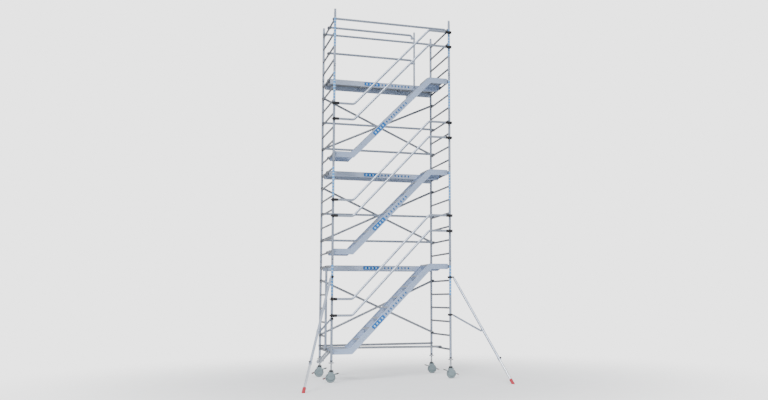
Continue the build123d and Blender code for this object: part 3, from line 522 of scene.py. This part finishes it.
for flight in range(3):
    for x0, x1, top in landing_and_tread_spans(flight):
        count = round((x1 - x0) / RIB_PITCH)
        for i in range(count):
            x = x0 + (x1 - x0) * (i + 0.5) / count
            ends = (at(x, y, top + 0.0006) for y in (TREAD_LOW + 0.002, TREAD_HIGH - 0.002))
            ribs.bar(*ends, X, 0.006, 0.0026)
        for x in (x0 + 0.035, x1 - 0.035):
            for y, side in STAIR_FACES:
                dome(screws, at(x, y, top - 0.014), Y * side, 0.0065)
for flight in range(3):
    lower, upper = flight_rungs(flight)
    for side in (-1, 1):
        for y, face in DECK_FACES:
            for dx in (0.035, 0.075):
                dome(screws, at(side * (LANDING_END - dx), y, upper - 0.012), Y * face, 0.0075)
        level = lower if side < 0 else upper
        for y, face in STAIR_FACES:
            for dx in (0.03, 0.065):
                dome(screws, at(side * (LANDING_END - dx), y, level + 0.012), Y * face, 0.007)
    for x in (-1.150, -0.450, 0.450, 1.150):
        for y, face in DECK_FACES:
            for dx in (-0.012, 0.012):
                dome(screws, at(x + dx, y, upper + 0.012), Y * face, 0.005)
screws.piece("screw_heads", "tower", "zinc_steel", mat["bolt"])
ribs.piece("tread_ribs", "tower", "tread_aluminium", mat["tread"])

# extruded lines run along the deck beams and the stringers, near both edges
lines = Kit()
LINE_END, LINE_WIDTH, LINE_DEPTH, PROUD = 1.189, 0.006, 0.0022, 0.0006
half_bend = atan2(RISE, HIGH_BEND - LOW_BEND) / 2
for flight in range(3):
    lower, upper = flight_rungs(flight)
    for y, face in DECK_FACES:
        for z in (upper + 0.036, upper - 0.058):
            ends = (at(side * LINE_END, y + face * PROUD, z) for side in (-1, 1))
            lines.bar(*ends, Z, LINE_WIDTH, LINE_DEPTH)
    for y, face in STAIR_FACES:
        for off in (0.051, -0.051):
            mitre = off * sin(half_bend) / cos(half_bend)
            low, high = lower + STAIR_LIFT + off, upper + STAIR_LIFT + off
            path = [(-LINE_END, low), (LOW_BEND - mitre, low), (HIGH_BEND - mitre, high), (LINE_END, high)]
            for (x0, z0), (x1, z1) in zip(path, path[1:]):
                along = Vector((x1 - x0, 0, z1 - z0)).normalized()
                side = Vector((-along.z, 0, along.x))
                start, end = (at(x, y + face * PROUD, z) for x, z in ((x0, z0), (x1, z1)))
                lines.bar(start, end, side, LINE_WIDTH, LINE_DEPTH)
lines.piece("extrusion_lines", "tower", "beam_aluminium", mat["beam"])


# ---- plain blue panels where the tower is labelled ----


def flat_panel(kit, start, along, across, out, length, height, top=0.0009):
    """A thin panel with rounded corners, which stands proud of its surface by top."""
    outline, r = [], height * 0.18
    for cx, cy, a0 in ((length - r, height - r, 0), (r, height - r, 90), (r, r, 180), (length - r, r, 270)):
        for i in range(5):
            a = radians(a0 + 22.5 * i)
            outline.append((cx + r * cos(a), cy + r * sin(a)))
    first, n = len(kit.verts), len(outline)
    for lift in (0.0001, top):
        for a, b in outline:
            kit.verts.append(start + along * a + across * (b - height / 2) + out * lift)
    kit.join(first, first + n, n, False)
    kit.cap(first, first + n, n)


panels, bars, marks = Kit(), Kit(), Kit()
slope = Vector((HIGH_BEND - LOW_BEND, 0, RISE)).normalized()
slope_up = Vector((-slope.z, 0, slope.x))
PANEL_LENGTH, BAR_PITCH = 0.335, 0.073
for flight in range(3):
    # each label is a blue panel with four pale bars in it, then a row of small marks
    lower, upper = flight_rungs(flight)
    deck_start = at(-0.450, DECK_FACES[0][0], upper - 0.012)
    stair_start = at(LOW_BEND, STAIR_NEAR, lower + STAIR_LIFT) + slope * 0.62
    for start, along, across, height in ((deck_start, X, Z, 0.074), (stair_start, slope, slope_up, 0.084)):
        flat_panel(panels, start, along, across, -Y, PANEL_LENGTH, height)
        for i in range(4):
            bar_start = start + along * (0.040 + BAR_PITCH * i)
            flat_panel(bars, bar_start, along, across, -Y, 0.032, height * 0.50, 0.0014)
        for i in range(9):
            mark_start = start + along * (PANEL_LENGTH + 0.040 + BAR_PITCH * i)
            flat_panel(marks, mark_start, along, across, -Y, 0.030, height * 0.55)
panels.piece("blue_panels", "tower", "black_plastic", mat["label"])
bars.piece("panel_bars", "tower", "black_plastic", mat["bar"])
marks.piece("panel_marks", "tower", "black_plastic", mat["mark"])

# the handrail couplers' clamping bands, and the closing bolts at the low end of the rails
COLLAR_END, BOLT_START = 0.0622, 0.0341
CLOSING_BOLT = [(0, 0.0240), (0.003, 0.0245), (0.006, 0.0160), (0.010, 0.0125),
                (0.022, 0.0120), (0.026, 0.0100), (0.027, 0.0040)]
coupler_bands = Kit()
for flight in range(3):
    lower, upper = flight_rungs(flight)
    for side, heights, level, reach in ((-1, LOW_RAILS, lower, 0.028), (1, HIGH_RAILS, upper, 0.040)):
        band = [(0, HANDRAIL_RADIUS), (0, 0.0285), (0.004, 0.0300), (reach - 0.006, 0.0295),
                (reach - 0.002, 0.0280), (reach, HANDRAIL_RADIUS)]
        for height in heights:
            inner = at(side * (HALF_LENGTH - COLLAR_END), HANDRAIL_Y, level + height)
            coupler_bands.turned(inner, X * -side, band, 32, True, False)
            if side < 0:
                outer = at(side * (HALF_LENGTH + BOLT_START), HANDRAIL_Y, level + height)
                coupler_bands.turned(outer, X * side, CLOSING_BOLT, 24)
coupler_bands.piece("coupler_bands", "tower", "black_plastic", mat["black"])

# striped strips wrap the camera-facing side of the two near posts, at the top of each frame
STRIP_RADIUS, STRIP_FACING, STRIP_ARC, STRIP_STEPS = 0.0259, -1.75, 2.0, 14
strips = Kit()
for x in (-HALF_LENGTH, HALF_LENGTH):
    for top in FRAME_JOINTS + [TOP]:
        low = max(top - 0.72, rung(0) + 0.1)
        levels = (low, low + 0.2, low + 0.4, top - 0.12)
        rows = []
        for i in range(STRIP_STEPS + 1):
            a = STRIP_FACING + (i / STRIP_STEPS - 0.5) * STRIP_ARC
            foot = at(x, -HALF_WIDTH, 0) + Vector((cos(a), sin(a), 0)) * STRIP_RADIUS
            rows.append([foot + Z * z for z in levels])
        strips.sheet(rows)
strips.piece("post_panels", "tower", "black_plastic", mat["post_label"])


# ---- castors and legs ----


def thread(kit, centre, low, high, lead, radius, depth, count=28):
    """A raised round thread on a leg, from low to high."""
    root, crest = radius - 0.0005, radius + depth
    rows = []
    for i in range(int((high - low) / lead * count) + 1):
        a = 2 * pi * i / count
        z = low + lead * i / count
        out = Vector((cos(a), sin(a), 0))
        section = ((root, -0.30), (crest, -0.10), (crest, 0.10), (root, 0.30))
        rows.append([centre + out * r + Z * (z + lead * share) for r, share in section])
    kit.sheet(rows)


def signed_root(value):
    """The square root of a value's size, with its sign."""
    return abs(value) ** 0.5 * (1 if value >= 0 else -1)


def pad(kit, post, side, ends, ribs):
    """A rubber sleeve over a pedal's tread, with rounded ends and raised ribs on top."""
    root, tip = (post + Vector((side * v.x, 0, v.z)) for v in ends)
    along = (tip - root).normalized()
    up = Vector((-along.z, 0, along.x)) * (1 if along.x > 0 else -1)
    centre, length, thick, count = (root + tip) / 2 + along * 0.004, 0.050, 0.0155, 28
    # sections across the sleeve, which shrink at both of its ends
    half = ((0.0435, 0.0050), (0.0430, 0.0022), (0.0405, 0.0))
    rows = []
    for y, inset in [(-y, inset) for y, inset in half] + list(reversed(half)):
        row = []
        for i in range(count):
            # a rounded rectangle: a superellipse of the fourth order
            a = 2 * pi * i / count
            u = signed_root(cos(a)) * (length / 2 - inset)
            v = signed_root(sin(a)) * (thick / 2 - inset)
            row.append(centre + along * u + up * v + Y * y)
        rows.append(row)
    first = len(kit.verts)
    kit.sheet(rows, True)
    kit.cap(first, first + count * (len(rows) - 1), count)
    for i in range(ribs):
        spot = centre + along * (0.0075 * (i - (ribs - 1) / 2)) + up * (thick / 2 + 0.0004)
        kit.bar(spot - Y * 0.036, spot + Y * 0.036, along, 0.0028, 0.0026)


SWIVEL_RING = [(0, 0.0362), (0.001, 0.0405), (0.004, 0.0425), (0.016, 0.0425), (0.020, 0.0405), (0.0215, 0.0362)]
HUB_CAP = [(0, 0.0205), (0.0006, 0.0200), (0.0010, 0.0165)]
WHEEL_RIVET = [(0, 0.0055), (0.0012, 0.005), (0.0016, 0.003)]

for row, y in (("near", Y_NEAR), ("far", Y_FAR)):
    for word, x, side in (("left", X_LEFT, -1), ("right", X_RIGHT, 1)):
        tag = f"{row}_{word}"
        post = Vector((x, y, 0))

        kit = Kit()
        thread(kit, post, 0.300, 0.720, 0.008, 0.0187, 0.0003)
        kit.piece(f"leg_thread_{tag}", f"castor_leg_{tag}", "zinc_steel", mat["zinc"])

        kit = Kit()
        kit.turned(post + Z * 0.2082, Z, SWIVEL_RING, 40, True, False)
        kit.piece(f"swivel_ring_{tag}", f"castor_swivel_{tag}", "black_plastic", mat["black"])

        kit = Kit()
        axle = post + Vector((side * WHEEL_TRAIL, 0, WHEEL_HEIGHT))
        for s in (-1, 1):
            kit.turned(axle + Y * (s * 0.0278), Y * s, HUB_CAP, 32)
            kit.torus(axle + Y * (s * 0.0192), Y, 0.0655, 0.0016, 48)
            for i in range(6):
                a = pi / 3 * i + pi / 6
                spot = axle + Vector((cos(a) * 0.056, s * 0.0188, sin(a) * 0.056))
                kit.turned(spot, Y * s, WHEEL_RIVET, 12)
        kit.piece(f"wheel_trim_{tag}", f"castor_wheel_{tag}", "castor_wheel", mat["core"])

        for end, tread, count, finish in (("high", HIGH_PEDAL, 5, "black"), ("low", LOW_PEDAL, 4, "dark_red")):
            kit = Kit()
            pad(kit, post, side, tread, count)
            kit.piece(f"pedal_grip_{end}_{tag}", f"brake_pedal_{tag}", "brake_pedal", mat[finish])

        kit = Kit()
        for z in (0.3655, 0.3925):
            kit.torus(post + Z * z, Z, 0.0297, 0.0014, 40)
        kit.piece(f"nut_bevel_{tag}", f"adjusting_nut_{tag}", "zinc_steel", mat["zinc"])


# ---- floor, light and camera ----

FLOOR_HALF = 60
floor_mesh = bpy.data.meshes.new("floor")
floor_corners = [(x * FLOOR_HALF, y * FLOOR_HALF, 0) for x, y in ((-1, -1), (1, -1), (1, 1), (-1, 1))]
floor_mesh.from_pydata(floor_corners, [], [(0, 1, 2, 3)])
floor_object = bpy.data.objects.new("floor", floor_mesh)
bpy.context.scene.collection.objects.link(floor_object)
floor_material = new_material("pale_floor", (0.93, 0.94, 0.95), 0.0, 0.9)
floor_speck = noise(floor_material, place(floor_material, (1, 1, 1)), 3.0, 4.0)
set_color(floor_material, ramp(floor_material, floor_speck, (0.92, 0.93, 0.94), (0.95, 0.96, 0.97)))
# the floor fades into the pale backdrop a few metres from the tower
floor_where = node(floor_material, "ShaderNodeTexCoord")
floor_far = node(floor_material, "ShaderNodeVectorMath", operation="LENGTH")
floor_fade = node(floor_material, "ShaderNodeMapRange", interpolation_type="SMOOTHSTEP")
for key, value in (("From Min", 2.0), ("From Max", 9.0), ("To Min", 0.12), ("To Max", 1.0)):
    floor_fade.inputs[key].default_value = value
floor_clear = node(floor_material, "ShaderNodeBsdfTransparent")
floor_mix = node(floor_material, "ShaderNodeMixShader")
link(floor_material, floor_where.outputs["Object"], floor_far.inputs[0])
link(floor_material, floor_far.outputs["Value"], floor_fade.inputs["Value"])
link(floor_material, floor_fade.outputs["Result"], floor_mix.inputs["Fac"])
floor_nodes = floor_material.node_tree.nodes
link(floor_material, floor_nodes["Principled BSDF"].outputs["BSDF"], floor_mix.inputs[1])
link(floor_material, floor_clear.outputs["BSDF"], floor_mix.inputs[2])
link(floor_material, floor_mix.outputs["Shader"], floor_nodes["Material Output"].inputs["Surface"])
floor_mesh.materials.append(floor_material)

world = bpy.data.worlds.new("studio")
bpy.context.scene.world = world
world.use_nodes = True
tree = world.node_tree
background = tree.nodes["Background"]
background.inputs["Color"].default_value = (0.95, 0.97, 1.0, 1)


def math_node(operation, *values):
    """A Math node of the world, with numbers or other nodes' outputs as its inputs."""
    n = tree.nodes.new("ShaderNodeMath")
    n.operation = operation
    for i, value in enumerate(values):
        if isinstance(value, (int, float)):
            n.inputs[i].default_value = value
        else:
            tree.links.new(value, n.inputs[i])
    return n.outputs[0]


def map_node(value, *limits):
    """A smooth step of the world: limits are its inputs' and its outputs' two ends."""
    n = tree.nodes.new("ShaderNodeMapRange")
    n.interpolation_type = "SMOOTHSTEP"
    tree.links.new(value, n.inputs["Value"])
    for key, limit in zip(("From Min", "From Max", "To Min", "To Max"), limits):
        n.inputs[key].default_value = limit
    return n.outputs["Result"]


# soft light panels stand round the tower, so its tubes have bright and dark bands from every side
direction = tree.nodes.new("ShaderNodeSeparateXYZ")
tree.links.new(tree.nodes.new("ShaderNodeTexCoord").outputs["Generated"], direction.inputs[0])
azimuth = math_node("ARCTAN2", direction.outputs["Y"], direction.outputs["X"])
wave = math_node("COSINE", math_node("MULTIPLY_ADD", azimuth, 3.0, 0.7))
panel = map_node(wave, -0.3, 0.6, 0.30, 1.30)
overhead = map_node(direction.outputs["Z"], 0.3, 0.8, 0.0, 1.0)
blend = tree.nodes.new("ShaderNodeMix")
tree.links.new(overhead, blend.inputs["Factor"])
tree.links.new(panel, blend.inputs[2])
blend.inputs[3].default_value = 0.95
tree.links.new(blend.outputs[0], background.inputs["Strength"])
# the camera sees an even pale backdrop instead of the panels
backdrop = tree.nodes.new("ShaderNodeBackground")
backdrop.inputs["Color"].default_value = (1, 1, 1, 1)
backdrop.inputs["Strength"].default_value = 3.0
seen = tree.nodes.new("ShaderNodeLightPath")
choose = tree.nodes.new("ShaderNodeMixShader")
tree.links.new(seen.outputs["Is Camera Ray"], choose.inputs["Fac"])
tree.links.new(background.outputs["Background"], choose.inputs[1])
tree.links.new(backdrop.outputs["Background"], choose.inputs[2])
tree.links.new(choose.outputs["Shader"], tree.nodes["World Output"].inputs["Surface"])


def sun(name, direction, strength, angle):
    """A soft sun that shines along a direction; angle is its size in degrees."""
    data = bpy.data.lights.new(name, "SUN")
    data.energy, data.angle = strength, radians(angle)
    light = bpy.data.objects.new(name, data)
    light.rotation_mode = "QUATERNION"
    light.rotation_quaternion = Vector(direction).to_track_quat("-Z", "Y")
    bpy.context.scene.collection.objects.link(light)


sun("key", (0.55, 0.75, -0.95), 2.8, 25)
sun("fill", (-0.8, 0.3, -0.5), 0.6, 60)

# the camera stands at eye height and looks a little up
IMAGE_WIDTH, FOCAL_LENGTH_PX, SENSOR_MM = 768, 824, 36
eye = at(-4.26, -16.79, 1.61)
yaw, pitch, roll = radians(-18.47), radians(6.96), radians(-0.30)
forward = Vector((-sin(yaw) * cos(pitch), cos(yaw) * cos(pitch), sin(pitch)))
right = Vector((cos(yaw), sin(yaw), 0))
up = right.cross(forward)
right, up = right * cos(roll) + up * sin(roll), up * cos(roll) - right * sin(roll)
camera_data = bpy.data.cameras.new("camera")
camera_data.sensor_width, camera_data.lens = SENSOR_MM, FOCAL_LENGTH_PX / IMAGE_WIDTH * SENSOR_MM
camera_data.shift_x, camera_data.shift_y = -0.080, -0.0027
camera_data.clip_end = 200
camera = bpy.data.objects.new("camera", camera_data)
camera.matrix_world = Matrix((
    (right.x, up.x, -forward.x, eye.x),
    (right.y, up.y, -forward.y, eye.y),
    (right.z, up.z, -forward.z, eye.z),
    (0, 0, 0, 1),
))
bpy.context.scene.collection.objects.link(camera)
bpy.context.scene.camera = camera
